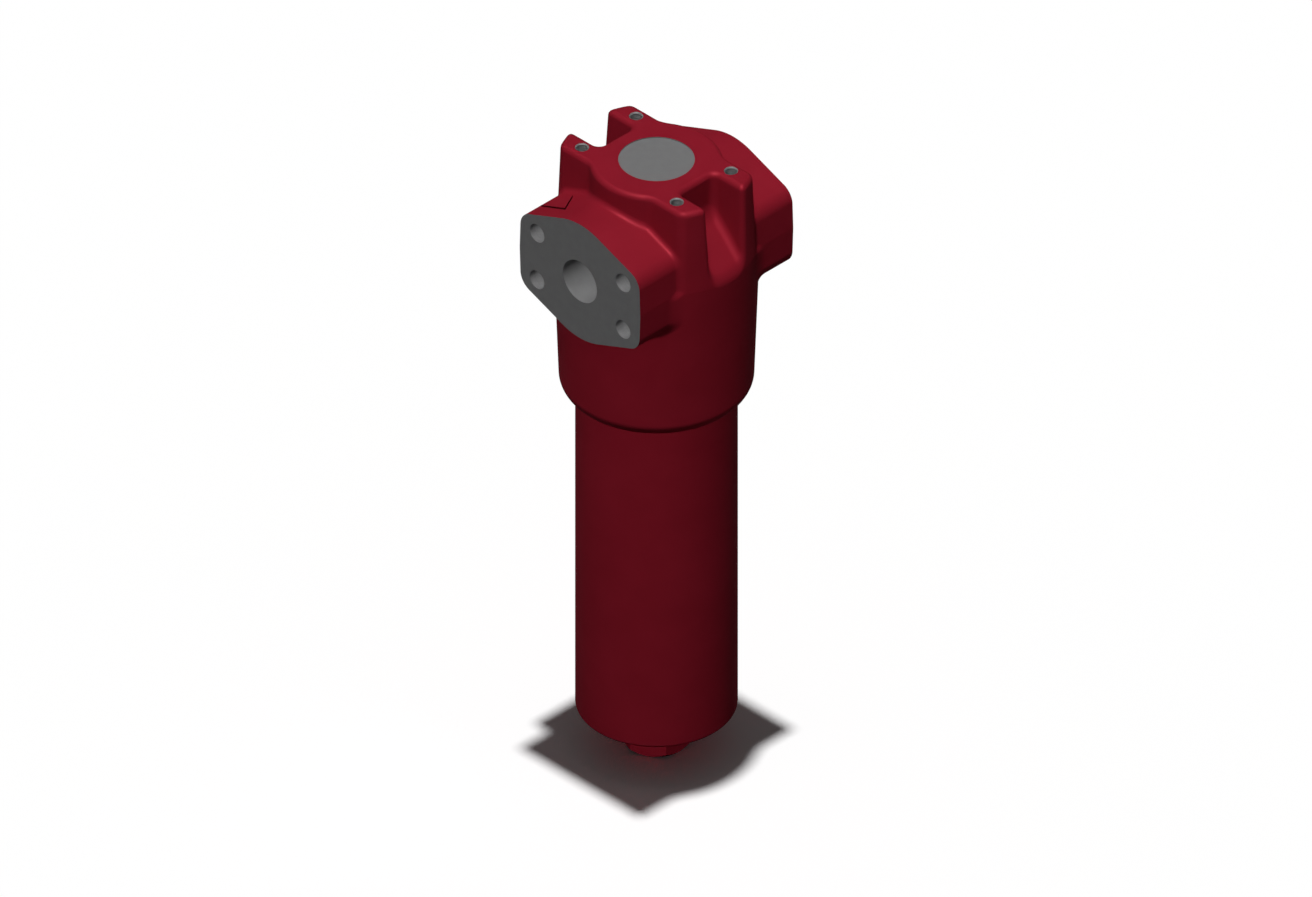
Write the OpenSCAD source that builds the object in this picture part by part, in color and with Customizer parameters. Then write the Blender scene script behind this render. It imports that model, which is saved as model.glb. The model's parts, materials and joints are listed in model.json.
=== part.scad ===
// Hydraulic pressure filter: a cast head with two bolted flange ports, a screw-in bowl,
// a pleated element on a spigot and a bypass valve in the web of the head.
// Millimetres. Z = 0 is the machined top plane, the flow runs along +X, the bowl hangs down.

/* [Overall] */
// Height from the top plane to the underside of the hexagon
overall_h = 296.5; // [270:0.5:420]
// Turning clearance between parts that move on each other, on the radius
running_gap = 0.08; // [0.05:0.01:0.1]
// Clearance between parts that are fitted once, on the radius
fitted_gap = 0.03; // [0.02:0.01:0.05]

/* [Ports and flanges] */
// Bore of the inlet and outlet ports
port_d = 20; // [16:0.5:21]
// Depth of the port axis below the top plane
port_drop = 40; // [38:0.5:44]
// Distance from the filter axis to each flange face
flange_face = 45.2; // [44:0.1:52]
// Radius of the flange outline above and below the port
flange_round_r = 29; // [27:0.5:31]
// Long pitch of the flange bolts
flange_pitch_y = 50.8; // [47.6:0.1:52.4]
// Short pitch of the flange bolts
flange_pitch_z = 23.8; // [22.2:0.1:26.2]
// Core diameter of the flange bolt threads
flange_tap_d = 8.5; // [6.8:0.1:8.8]
// Extra core diameter on the outlet side, so that no two facing holes count as one
flange_tap_extra = 0.02; // [0.02:0.01:0.1]
// Depth of the flange bolt holes
flange_tap_depth = 18; // [14:0.5:18]
// Corner radius of the flange outline
flange_corner_r = 8; // [7:0.5:9]
// Sideways distance from a flange bolt to the centre of its corner
flange_corner_out = 1.8; // [1:0.1:3]

/* [Head casting] */
// Radius of the head at the parting plane
head_r = 43.3; // [42.5:0.1:46]
// Casting draft each way from the parting plane, in degrees
draft_deg = 2; // [1:0.25:3]
// Height of the head
head_h = 115.3; // [113:0.1:125]
// Rounding of the head's lower rim
foot_round = 7.5; // [5:0.5:8]
// Radius of the round boss on top
boss_r = 28; // [26:0.5:30]
// Rounding of the top edges
rim_round = 2.5; // [1:0.25:3]
// Width of each mounting ear
ear_w = 11; // [9:0.5:13]
// Distance from the filter axis to the inner wall of each notch
notch_wall = 23.5; // [22:0.5:25]
// Depth of the notch at its inner wall
notch_depth = 19; // [17:0.5:24]
// Slope of the notch floor, in degrees
notch_slope = 45; // [40:1:48]
// Inner rounding of the notches
notch_round = 3.5; // [1:0.5:4]
// Diameter of the machined indicator face
spot_d = 32; // [28:0.5:36]
// Depth of the indicator face below the top plane
spot_depth = 0.5; // [0.2:0.1:1]

/* [Indicator pad] */
// Width of the cast pad on the back, where an indicator can be fitted
pad_w = 57; // [44:0.5:58]
// Height of the pad below the parting plane
pad_h = 34; // [24:0.5:36]
// Distance from the filter axis to the pad's face
pad_face = 43.8; // [43.5:0.1:50]
// Radius of the pad's lower corners
pad_round = 6; // [3:0.5:8]

/* [Flow arrow] */
// Length of the cast arrow
arrow_len = 11.2; // [8:0.1:13]
// Width of the cast arrow
arrow_w = 13; // [8:0.5:13]
// Height of the cast arrow
arrow_h = 0.8; // [0.4:0.1:1.2]
// Distance from the flange face to the base of the arrow
arrow_inset = 7.5; // [5:0.5:9]

/* [Mounting holes] */
// Pitch of the mounting holes along the flow
mount_pitch_x = 32; // [30:0.5:36]
// Pitch of the mounting holes across the flow
mount_pitch_y = 56; // [54:0.5:60]
// Core diameter of the mounting threads
mount_tap_d = 5; // [4.2:0.1:5.2]
// Depth of the mounting holes
mount_tap_depth = 14; // [10:0.5:16]
// Width of the chamfer at the mouth of each mounting hole
mount_chamfer = 0.5; // [0.3:0.1:0.9]
// Depth of that chamfer
mount_chamfer_depth = 0.45; // [0.2:0.05:0.5]

/* [Bowl] */
// Outer diameter of the bowl
bowl_od = 68; // [67:0.5:70]
// Inner diameter of the bowl
bowl_id = 53; // [52:0.5:54]
// Thickness of the bowl's floor
bowl_floor = 9.5; // [8:0.5:14]
// Rounding of the bowl's lower outer edge
bowl_edge_round = 1.5; // [0.5:0.25:4]
// Inner rounding between wall and floor
bowl_floor_round = 6; // [4:0.5:8]
// Width of the hexagon across its flats
hex_af = 27; // [24:0.5:32]
// Height of the hexagon
hex_h = 19; // [14:0.5:22]
// Turn of the hexagon when the bowl is tight, in degrees
hex_turn = 0; // [0:1:59]
// Chamfer on the hexagon's corners
hex_chamfer = 2.25; // [0.5:0.25:2.5]

/* [Bowl joint] */
// Depth of the head's cavity ceiling below the top plane
ceiling_drop = 72; // [71:0.5:74]
// Diameter of the sealing bore in the head
pilot_d = 63.1; // [62.5:0.1:63.3]
// Length of the sealing bore
pilot_len = 13; // [12:0.5:14]
// Pitch diameter of the bowl thread
thread_d = 64.7; // [64.3:0.1:65]
// Length of the clearance bore at the foot of the head
foot_bore_len = 7.3; // [6:0.1:10]
// Gap between the bowl's upper end and the ceiling
bowl_top_gap = 1; // [0.6:0.1:1.5]
// Width of the two thread reliefs on the bowl
relief_w = 1.8; // [1:0.1:2.5]
// Depth of the two thread reliefs on the bowl
relief_depth = 0.8; // [0.5:0.1:1]
// Lead-in chamfer at the bowl's upper end
bowl_lead = 0.8; // [0.5:0.1:1.2]

/* [Bowl seal] */
// Distance from the bowl's upper end to the seal groove
groove_inset = 3.5; // [3:0.1:4]
// Width of the seal groove
groove_w = 4.7; // [4.5:0.1:5.2]
// Depth of the seal groove
groove_depth = 2.2; // [2:0.1:2.4]
// Height of the bowl's O-ring in its groove
bowl_ring_h = 2.8; // [2.6:0.1:2.9]
// Height of the back-up ring
backup_h = 1.4; // [1:0.1:1.5]

/* [Element spigot] */
// Outer diameter of the spigot
spigot_d = 24; // [23:0.5:24.5]
// Bore of the spigot
spigot_bore_d = 16; // [14:0.5:17]
// Diameter of the spigot's shank in the head
shank_d = 22; // [20:0.5:23]
// Length of the spigot's shank
shank_len = 14; // [10:0.5:15]
// Diameter of the spigot's collar
collar_d = 28; // [26:0.5:28.5]
// Height of the spigot's collar
collar_h = 3; // [2:0.5:4]
// Length of the spigot below its collar
spigot_len = 15; // [13:0.5:17]

/* [Inlet gallery] */
// Diameter of the gallery down to the bowl
gallery_d = 16; // [13:0.5:17]
// Distance from the filter axis to the gallery
gallery_offset = 22.5; // [22:0.5:23]
// Length of the conical end of a drilled port
drill_tip = 5; // [3:0.5:6]

/* [Bypass valve] */
// Distance from the filter axis to the valve
valve_offset = 22.2; // [22:0.1:23]
// Bore that holds the valve
valve_bore_d = 14; // [13.6:0.1:14.4]
// Passage from the valve to the outlet port
valve_passage_d = 9; // [7:0.5:9.5]
// Depth of the valve bore above the ceiling
valve_bore_len = 18; // [17:0.5:18.5]
// Bore of the valve seat
seat_bore_d = 8; // [6:0.5:8.5]
// Height of the valve seat
seat_h = 4.7; // [4.4:0.1:5]
// Width of the groove around the seat
seat_groove_w = 2; // [1.6:0.1:2.2]
// Depth of the groove around the seat
seat_groove_depth = 1.2; // [1:0.1:1.4]
// Thickness of the retaining ring
clip_t = 1; // [0.8:0.1:1.2]
// Depth of the retaining ring's groove
clip_groove = 0.5; // [0.3:0.1:0.6]
// Radial width of the retaining ring
clip_w = 1.3; // [1:0.1:1.6]
// Opening of the retaining ring, in degrees
clip_open = 40; // [20:1:60]
// Diameter of the poppet's disc
poppet_d = 11.2; // [10.6:0.1:11.6]
// Thickness of the poppet's disc
poppet_t = 2; // [1.6:0.1:2.4]
// Diameter of the poppet's spring guide
poppet_stem_d = 7.4; // [5:0.1:7.6]
// Height of the poppet's spring guide
poppet_stem_h = 5; // [3:0.1:5.6]
// Depth of the poppet's nose in the seat
poppet_nose_h = 1.4; // [0.8:0.1:2]
// Number of guide fins on the poppet
poppet_fins = 3; // [3:1:6]
// Thickness of a guide fin
poppet_fin_t = 1.6; // [1:0.1:2]
// Wire of the valve spring
spring_wire = 1; // [0.8:0.1:1.1]
// Mean diameter of the valve spring's coil
spring_d = 9.6; // [9.2:0.1:9.8]
// Turns of the valve spring
spring_turns = 5; // [4:0.5:6]

/* [Element] */
// Outer diameter of the element's end caps
cap_d = 46; // [45:0.5:48]
// Thickness of the end caps' plates
cap_t = 2; // [1.5:0.1:2.5]
// Thickness of the end caps' rims
cap_rim_t = 0.8; // [0.6:0.1:0.8]
// Depth of the end caps' rims below their plates
cap_rim_h = 4; // [3:0.5:5]
// Outer diameter of the hub around the spigot
hub_d = 32; // [31:0.5:34]
// Height of the hub above the top cap's plate
hub_h = 8.4; // [7.5:0.1:9]
// Gap between the spigot's collar and the hub
hub_gap = 0.6; // [0.4:0.1:1]
// Width of the hub's seal groove
hub_groove_w = 2.9; // [2.7:0.1:3.1]
// Depth of the hub's seal groove
hub_groove_depth = 2.2; // [2:0.1:2.4]
// Lead-in chamfer of the hub and of the spigot's end
hub_lead = 1; // [0.5:0.25:1.5]
// Depth of the bonding resin in each end cap
resin_t = 2; // [1.5:0.1:2.5]
// Gap between the element and the bowl's floor
element_bottom_gap = 2; // [1:0.1:4]
// Outer diameter of the perforated core tube
core_d = 27; // [26.5:0.1:27.5]
// Wall of the perforated core tube
core_t = 0.9; // [0.8:0.1:1]
// Diameter of the holes in the core tube
core_hole_d = 7; // [4:0.5:8]
// Pitch of the rows of holes in the core tube
core_hole_pitch = 21; // [16:0.5:26]
// Number of pleats
pleats = 30; // [24:1:32]
// Radius at the crests of the pleats
pleat_crest_r = 21.2; // [20.5:0.1:21.3]
// Radius at the roots of the pleats
pleat_root_r = 14.7; // [14.7:0.1:15.2]
// Thickness of the filter medium
media_t = 0.55; // [0.4:0.05:0.6]
// Thickness of the supporting meshes
mesh_t = 0.2; // [0.15:0.05:0.25]
// Leg length of the seam clip
clip_leg = 3; // [2:0.1:4]
// Sheet thickness of the seam clip
seam_clip_t = 0.3; // [0.2:0.05:0.35]

/* [Hidden] */
$fn = 64;
over = 1;
far = 2 * overall_h;

paint_red = [0.52, 0.1, 0.16];
steel_grey = [0.6, 0.6, 0.62];
rubber_black = [0.08, 0.08, 0.08];
ptfe_white = [0.9, 0.9, 0.88];
medium_white = [0.93, 0.92, 0.86];
resin_amber = [0.75, 0.62, 0.35];

// Stations along the filter axis
port_z = -port_drop;
head_foot_z = -head_h;
ceiling_z = -ceiling_drop;
pilot_end_z = ceiling_z - pilot_len;
thread_end_z = head_foot_z + foot_bore_len;
bowl_top_z = ceiling_z - bowl_top_gap;
bowl_foot_z = -overall_h + hex_h;
bowl_inside_z = bowl_foot_z + bowl_floor;
groove_top_z = bowl_top_z - groove_inset;
groove_foot_z = groove_top_z - groove_w;
collar_foot_z = ceiling_z - collar_h;
spigot_foot_z = collar_foot_z - spigot_len;
hub_top_z = collar_foot_z - hub_gap;
top_plate_z = hub_top_z - hub_h;
top_resin_z = top_plate_z - cap_t;
pleat_top_z = top_resin_z - resin_t;
element_foot_z = bowl_inside_z + element_bottom_gap;
bottom_resin_z = element_foot_z + cap_t;
pleat_foot_z = bottom_resin_z + resin_t;

// Flange outline, in the plane of the flange face
corner_y = flange_pitch_y / 2 + flange_corner_out;
corner_z = flange_pitch_z / 2;
corner_dist = sqrt(pow(corner_y, 2) + pow(corner_z, 2));
tangent_deg = atan2(corner_z, corner_y) + acos((flange_round_r - flange_corner_r) / corner_dist);
flange_side_y = corner_y + flange_corner_r / cos(draft_deg) + corner_z * tan(draft_deg);

// Head
ear_x = mount_pitch_x / 2;
ear_in_x = ear_x - ear_w / 2;
ear_out_x = ear_x + ear_w / 2;
pilot_r = pilot_d / 2;
thread_r = thread_d / 2;
shank_top_z = ceiling_z + shank_len;

// Bowl
bowl_r = bowl_od / 2;
bowl_in_r = bowl_id / 2;
bowl_pilot_r = pilot_r - running_gap;
groove_floor_r = bowl_pilot_r - groove_depth;
backup_top_z = groove_foot_z + backup_h + fitted_gap;

// Bypass valve
valve_r = valve_bore_d / 2;
valve_top_z = ceiling_z + valve_bore_len;
clip_groove_t = clip_t + 2 * fitted_gap;
clip_ledge = 0.5;
clip_groove_z = ceiling_z + clip_ledge;
seat_foot_z = clip_groove_z + clip_groove_t;
seat_top_z = seat_foot_z + seat_h;
disc_top_z = seat_top_z + poppet_t;
spring_end = spring_wire / 2;
spring_h = valve_top_z - disc_top_z - 2 * fitted_gap;
spring_steps = 20;
spring_sides = 8;
coil_gap = 0.05;

// Element
cap_r = cap_d / 2;
cap_in_r = cap_r - cap_rim_t;
hub_bore_r = spigot_d / 2 + running_gap;
hub_groove_z = top_plate_z + (hub_h - hub_groove_w) / 2;
core_r = core_d / 2;
core_in_r = core_r - core_t;
core_top_z = top_resin_z - fitted_gap;
core_foot_z = bottom_resin_z + fitted_gap;
core_len = core_top_z - core_foot_z;
core_rows = floor((core_len - 2 * core_hole_pitch) / core_hole_pitch);
core_holes = 6;
layer_gap = 0.03;
pleat_step = 360 / pleats;

// A quarter-rounded disc: flat top at z = 0, radius r, edge rounding e, height h
module rounded_disc_profile(r, e, h) {
    translate([0, -h])
        square([r, h - e]);
    translate([0, -e - over])
        square([r - e, e + over]);
    translate([r - e, -e])
        intersection() {
            circle(r = e);
            square([e, e]);
        }
}

// Radius of the drafted head at height z
function draft_r(z) = head_r - abs(z - port_z) * tan(draft_deg);

// Half section of the head below the parting plane, with its rounded foot
module skirt_profile() {
    round_z = head_foot_z + foot_round;
    round_x = draft_r(round_z) - foot_round / cos(draft_deg);
    polygon([
        [0, port_z],
        [head_r, port_z],
        [round_x + foot_round * cos(draft_deg), round_z - foot_round * sin(draft_deg)],
        [round_x, round_z],
        [round_x, head_foot_z],
        [0, head_foot_z]]);
    intersection() {
        translate([round_x, round_z])
            circle(r = foot_round);
        translate([round_x, head_foot_z - over])
            square([foot_round + over, foot_round + over]);
    }
}

// Half section of the head above the parting plane, with its rounded upper rim
module crown_profile() {
    rim_x = draft_r(-rim_round) - rim_round;
    polygon([
        [0, port_z - over],
        [head_r, port_z - over],
        [head_r, port_z],
        [rim_x + rim_round, -rim_round],
        [rim_x, 0],
        [0, 0]]);
    translate([rim_x, -rim_round])
        intersection() {
            circle(r = rim_round);
            square([rim_round, rim_round]);
        }
}

// Outline of a flange: a round belly between four rounded corners
module flange_outline() {
    belly = [flange_round_r * cos(tangent_deg), flange_round_r * sin(tangent_deg)];
    high = [corner_y + flange_corner_r * cos(tangent_deg), corner_z + flange_corner_r * sin(tangent_deg)];
    side = [corner_y + flange_corner_r * cos(draft_deg), corner_z + flange_corner_r * sin(draft_deg)];
    polygon([
        belly, high, side, [flange_side_y, 0], [side.x, -side.y], [high.x, -high.y],
        [belly.x, -belly.y], [-belly.x, -belly.y], [-high.x, -high.y], [-side.x, -side.y],
        [-flange_side_y, 0], [-side.x, side.y], [-high.x, high.y], [-belly.x, belly.y]]);
    circle(r = flange_round_r);
    for (y = [-1, 1], z = [-1, 1])
        translate([y * corner_y, z * corner_z])
            circle(r = flange_corner_r);
}

// Lays a profile drawn in Y and Z across the X axis and gives it a length
module along_x(from, to) {
    translate([from, 0, 0])
        rotate([90, 0, 90])
            linear_extrude(to - from)
                children();
}

// One bar of ears: drafted faces, rounded top edges
module ear_bar() {
    spread = (port_drop + over - rim_round) * tan(draft_deg);
    translate([0, far / 2, 0])
        rotate([90, 0, 0])
            linear_extrude(far) {
                polygon([
                    [-ear_w / 2 - spread, port_z - over],
                    [ear_w / 2 + spread, port_z - over],
                    [ear_w / 2, -rim_round],
                    [-ear_w / 2, -rim_round]]);
                translate([-ear_w / 2 + rim_round, -rim_round - over])
                    square([ear_w - 2 * rim_round, rim_round + over]);
                for (s = [-1, 1])
                    translate([s * (ear_w / 2 - rim_round), -rim_round])
                        circle(r = rim_round);
            }
}

// Sloped floor between a pair of ears, before the notch is cut into it
module notch_fill() {
    along_x(-ear_in_x - over, ear_in_x + over)
        polygon([
            [0, port_z - over],
            [0, -notch_depth / 2],
            [notch_wall, -notch_depth / 2],
            [far, -notch_depth / 2 - (far - notch_wall) * tan(notch_slope)],
            [far, port_z - over]]);
}

// Space between a pair of ears: flat inner wall, sloped floor, rounded inner corners
module notch_space() {
    intersection() {
        translate([0, notch_wall, -notch_depth])
            rotate([-notch_slope, 0, 0])
                translate([0, far / 2, 0])
                    rotate([90, 0, 0])
                        linear_extrude(far) {
                            translate([-ear_in_x + notch_round, 0])
                                square([2 * (ear_in_x - notch_round), notch_round + over]);
                            translate([-ear_in_x, notch_round])
                                square([2 * ear_in_x, far]);
                            for (s = [-1, 1])
                                translate([s * (ear_in_x - notch_round), notch_round])
                                    circle(r = notch_round);
                        }
        translate([0, 0, port_z - over])
            linear_extrude(far) {
                translate([-ear_in_x, notch_wall + notch_round])
                    square([2 * ear_in_x, far]);
                translate([-ear_in_x + notch_round, notch_wall])
                    square([2 * (ear_in_x - notch_round), notch_round + over]);
                for (s = [-1, 1])
                    translate([s * (ear_in_x - notch_round), notch_wall + notch_round])
                        circle(r = notch_round);
            }
    }
}

// The boss, the ears and the floors between them, above the parting plane
module crown() {
    rotate_extrude()
        rounded_disc_profile(boss_r, rim_round, port_drop + over);
    intersection() {
        rotate_extrude()
            crown_profile();
        union() {
            for (s = [-1, 1])
                translate([s * ear_x, 0, 0])
                    ear_bar();
            for (s = [0, 1])
                mirror([0, s, 0])
                    notch_fill();
        }
    }
}

// Blank cast pad on the back of the head, flush with the parting plane
module indicator_pad() {
    low_z = port_z - pad_h;
    translate([0, pad_face, 0])
        rotate([90, 0, 0])
            linear_extrude(pad_face) {
                translate([-pad_w / 2, low_z + pad_round])
                    square([pad_w, pad_h - pad_round]);
                translate([-pad_w / 2 + pad_round, low_z])
                    square([pad_w - 2 * pad_round, pad_round + over]);
                for (s = [-1, 1])
                    translate([s * (pad_w / 2 - pad_round), low_z + pad_round])
                        circle(r = pad_round);
            }
}

// Cast arrow on the sloping top of the inlet flange, pointing along the flow
module flow_arrow() {
    flat_len = sqrt(pow(corner_dist, 2) - pow(flange_round_r - flange_corner_r, 2));
    translate([-flange_face + arrow_inset, 0, port_z])
        rotate([tangent_deg, 0, 0])
            translate([0, flange_round_r - over, 0])
                rotate([-90, 0, 0])
                    linear_extrude(over + arrow_h)
                        translate([0, flat_len - arrow_w / 2])
                            polygon([[0, -arrow_w / 2], [arrow_len, 0], [0, arrow_w / 2]]);
}

// Drilled port with a conical end, drawn along +Z
module drilled_port(len) {
    cylinder(d = port_d, h = len);
    translate([0, 0, -drill_tip])
        cylinder(d1 = 0, d2 = port_d, h = drill_tip);
}

module flange_bolt_holes() {
    for (side = [0, 1], y = [-1, 1], z = [-1, 1])
        mirror([side, 0, 0])
            translate([flange_face - flange_tap_depth, y * flange_pitch_y / 2, port_z + z * corner_z])
                rotate([0, 90, 0])
                    cylinder(d = flange_tap_d + (1 - side) * flange_tap_extra, h = flange_tap_depth + over);
}

module mounting_holes() {
    for (x = [-1, 1], y = [-1, 1])
        translate([x * ear_x, y * mount_pitch_y / 2, 0]) {
            translate([0, 0, -mount_tap_depth])
                cylinder(d = mount_tap_d, h = mount_tap_depth + over);
            translate([0, 0, -mount_chamfer_depth])
                cylinder(d1 = mount_tap_d, d2 = mount_tap_d + 4 * mount_chamfer, h = 2 * mount_chamfer_depth);
        }
}

// Inlet port and gallery, outlet port and centre bore
module oil_ways() {
    translate([-gallery_offset, 0, port_z])
        rotate([0, -90, 0])
            drilled_port(far);
    translate([-gallery_offset, 0, ceiling_z - over])
        cylinder(d = gallery_d, h = ceiling_drop - port_drop + over);
    translate([0, 0, port_z])
        rotate([0, 90, 0])
            drilled_port(far);
    translate([0, 0, ceiling_z - over])
        cylinder(d = spigot_bore_d, h = ceiling_drop - port_drop + over);
}

// Stepped cavity that takes the bowl
module bowl_cavity() {
    translate([0, 0, pilot_end_z - over])
        cylinder(r = pilot_r, h = pilot_len + over);
    translate([0, 0, thread_end_z])
        cylinder(r = thread_r, h = pilot_end_z - thread_end_z);
    translate([0, 0, head_foot_z - over])
        cylinder(r = bowl_r + running_gap, h = foot_bore_len + over);
}

// Bore for the bypass valve, with its ring groove and its passage to the outlet
module valve_cavity() {
    translate([valve_offset, 0, 0]) {
        translate([0, 0, ceiling_z - over])
            cylinder(r = valve_r, h = valve_bore_len + over);
        translate([0, 0, clip_groove_z])
            cylinder(r = valve_r + clip_groove, h = clip_groove_t);
        translate([0, 0, valve_top_z - over])
            cylinder(d = valve_passage_d, h = port_z - valve_top_z + over);
    }
}

module filter_head() {
    color(paint_red)
        difference() {
            union() {
                rotate_extrude()
                    skirt_profile();
                crown();
                along_x(-flange_face, flange_face)
                    translate([0, port_z])
                        flange_outline();
                flow_arrow();
                indicator_pad();
            }
            for (s = [0, 1])
                mirror([0, s, 0])
                    notch_space();
            translate([0, 0, -spot_depth])
                cylinder(d = spot_d, h = spot_depth + over);
            mounting_holes();
            flange_bolt_holes();
            oil_ways();
            translate([0, 0, ceiling_z - over])
                cylinder(d = shank_d, h = shank_len + over);
            bowl_cavity();
            valve_cavity();
        }
}

module element_spigot() {
    color(steel_grey)
        rotate_extrude()
            difference() {
                polygon([
                    [0, spigot_foot_z],
                    [spigot_d / 2 - hub_lead, spigot_foot_z],
                    [spigot_d / 2, spigot_foot_z + hub_lead],
                    [spigot_d / 2, collar_foot_z],
                    [collar_d / 2, collar_foot_z],
                    [collar_d / 2, ceiling_z],
                    [shank_d / 2 - fitted_gap, ceiling_z],
                    [shank_d / 2 - fitted_gap, shank_top_z - fitted_gap],
                    [0, shank_top_z - fitted_gap]]);
                translate([0, spigot_foot_z - over])
                    square([spigot_bore_d / 2, far]);
            }
}

module bypass_seat() {
    mouth = poppet_nose_h + fitted_gap;
    groove_z = seat_foot_z + (seat_h - seat_groove_w) / 2;
    seat_r = valve_r - fitted_gap;
    color(steel_grey)
        translate([valve_offset, 0, 0])
            rotate_extrude()
                polygon([
                    [seat_bore_d / 2, seat_foot_z],
                    [seat_r, seat_foot_z],
                    [seat_r, groove_z],
                    [seat_r - seat_groove_depth, groove_z],
                    [seat_r - seat_groove_depth, groove_z + seat_groove_w],
                    [seat_r, groove_z + seat_groove_w],
                    [seat_r, seat_top_z],
                    [seat_bore_d / 2 + mouth / 2, seat_top_z],
                    [seat_bore_d / 2, seat_top_z - mouth]]);
}

// A ring of rounded section between two radii
module squeezed_ring(inner_r, outer_r, h) {
    w = outer_r - inner_r;
    rotate_extrude()
        translate([inner_r + w / 2, h / 2]) {
            square([w, h - w], center = true);
            for (s = [-1, 1])
                translate([0, s * (h - w) / 2])
                    circle(d = w);
        }
}

module bypass_seat_seal() {
    groove_z = seat_foot_z + (seat_h - seat_groove_w) / 2;
    seal_r = valve_r - fitted_gap - seat_groove_depth;
    color(rubber_black)
        translate([valve_offset, 0, groove_z + fitted_gap])
            squeezed_ring(seal_r + fitted_gap, valve_r - fitted_gap, seat_groove_w - 2 * fitted_gap);
}

module bypass_poppet() {
    guide_r = valve_r - running_gap;
    nose_r = seat_bore_d / 2 - running_gap;
    color(steel_grey)
        translate([valve_offset, 0, seat_top_z]) {
            cylinder(d = poppet_d, h = poppet_t);
            translate([0, 0, poppet_t - over / 2])
                cylinder(d = poppet_stem_d, h = poppet_stem_h + over / 2);
            translate([0, 0, -poppet_nose_h])
                cylinder(r1 = nose_r - poppet_nose_h / 2, r2 = nose_r, h = poppet_nose_h);
            intersection() {
                cylinder(r = guide_r, h = poppet_t);
                for (i = [0 : poppet_fins - 1])
                    rotate([0, 0, i * 360 / poppet_fins])
                        translate([0, -poppet_fin_t / 2, -over])
                            cube([valve_r, poppet_fin_t, poppet_t + 2 * over]);
            }
        }
}

// Height of the spring's wire centre after the fraction t of its length, closed at both ends
function spring_rise(t) =
    let (turn = t * spring_turns, top = spring_h - spring_wire, closed = spring_wire + coil_gap)
    turn < 1 ? turn * closed
    : turn > spring_turns - 1 ? top - (spring_turns - turn) * closed
    : closed + (turn - 1) / (spring_turns - 2) * (top - 2 * closed);

module bypass_spring() {
    rings = spring_turns * spring_steps;
    points = [
        for (i = [0 : rings], k = [0 : spring_sides - 1])
            let (
                a = i / spring_steps * 360,
                b = k / spring_sides * 360,
                r = spring_d / 2 + spring_end * cos(b))
            [r * cos(a), r * sin(a), spring_end + spring_rise(i / rings) + spring_end * sin(b)]];
    sides = [
        for (i = [0 : rings - 1], k = [0 : spring_sides - 1])
            let (n = (k + 1) % spring_sides, p = i * spring_sides, q = p + spring_sides)
            [p + k, p + n, q + n, q + k]];
    start_cap = [[for (k = [0 : spring_sides - 1]) spring_sides - 1 - k]];
    end_cap = [[for (k = [0 : spring_sides - 1]) rings * spring_sides + k]];
    color(steel_grey)
        translate([valve_offset, 0, disc_top_z + fitted_gap])
            polyhedron(points = points, faces = concat(sides, start_cap, end_cap));
}

module bypass_circlip() {
    color(steel_grey)
        translate([valve_offset, 0, clip_groove_z + fitted_gap])
            rotate([0, 0, 90 + clip_open / 2])
                rotate_extrude(angle = 360 - clip_open)
                    translate([valve_r + clip_groove - fitted_gap - clip_w, 0])
                        square([clip_w, clip_t]);
}

module element_top_cap() {
    hub_r = hub_d / 2;
    color(steel_grey)
        rotate_extrude()
            polygon([
                [hub_bore_r, top_resin_z],
                [hub_bore_r, hub_groove_z],
                [hub_bore_r + hub_groove_depth, hub_groove_z],
                [hub_bore_r + hub_groove_depth, hub_groove_z + hub_groove_w],
                [hub_bore_r, hub_groove_z + hub_groove_w],
                [hub_bore_r, hub_top_z - hub_lead],
                [hub_bore_r + hub_lead, hub_top_z],
                [hub_r, hub_top_z],
                [hub_r, top_plate_z],
                [cap_r, top_plate_z],
                [cap_r, top_resin_z - cap_rim_h],
                [cap_in_r, top_resin_z - cap_rim_h],
                [cap_in_r, top_resin_z]]);
}

module element_bottom_cap() {
    color(steel_grey)
        rotate_extrude()
            polygon([
                [0, element_foot_z],
                [cap_r, element_foot_z],
                [cap_r, bottom_resin_z + cap_rim_h],
                [cap_in_r, bottom_resin_z + cap_rim_h],
                [cap_in_r, bottom_resin_z],
                [0, bottom_resin_z]]);
}

module element_core_tube() {
    first_row_z = core_foot_z + (core_len - core_rows * core_hole_pitch) / 2;
    color(steel_grey)
        difference() {
            translate([0, 0, core_foot_z])
                cylinder(r = core_r, h = core_len);
            translate([0, 0, core_foot_z - over])
                cylinder(r = core_in_r, h = core_len + 2 * over);
            for (row = [0 : core_rows], i = [0 : core_holes - 1])
                rotate([0, 0, (i + (row % 2) / 2) * 360 / core_holes])
                    translate([core_in_r - over, 0, first_row_z + row * core_hole_pitch])
                        rotate([0, 90, 0])
                            cylinder(d = core_hole_d, h = core_t + 2 * over);
        }
}

// Centre line of the pleated pack: crests and roots in turn
module pleat_star() {
    polygon([
        for (i = [0 : pleats - 1], k = [0, 1])
            let (a = (i + k / 2) * pleat_step, r = k == 0 ? pleat_crest_r : pleat_root_r)
            [r * cos(a), r * sin(a)]]);
}

// One sheet of the pack, between two offsets from its centre line
module pleated_sheet(inner, outer) {
    translate([0, 0, pleat_foot_z + fitted_gap])
        linear_extrude(pleat_top_z - pleat_foot_z - 2 * fitted_gap)
            difference() {
                offset(r = outer, $fn = 16)
                    pleat_star();
                offset(r = inner, $fn = 16)
                    pleat_star();
            }
}

module element_inner_mesh() {
    color(steel_grey)
        pleated_sheet(-media_t / 2 - layer_gap - mesh_t, -media_t / 2 - layer_gap);
}

module element_media() {
    color(medium_white)
        pleated_sheet(-media_t / 2, media_t / 2);
}

module element_outer_mesh() {
    color(steel_grey)
        pleated_sheet(media_t / 2 + layer_gap, media_t / 2 + layer_gap + mesh_t);
}

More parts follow.
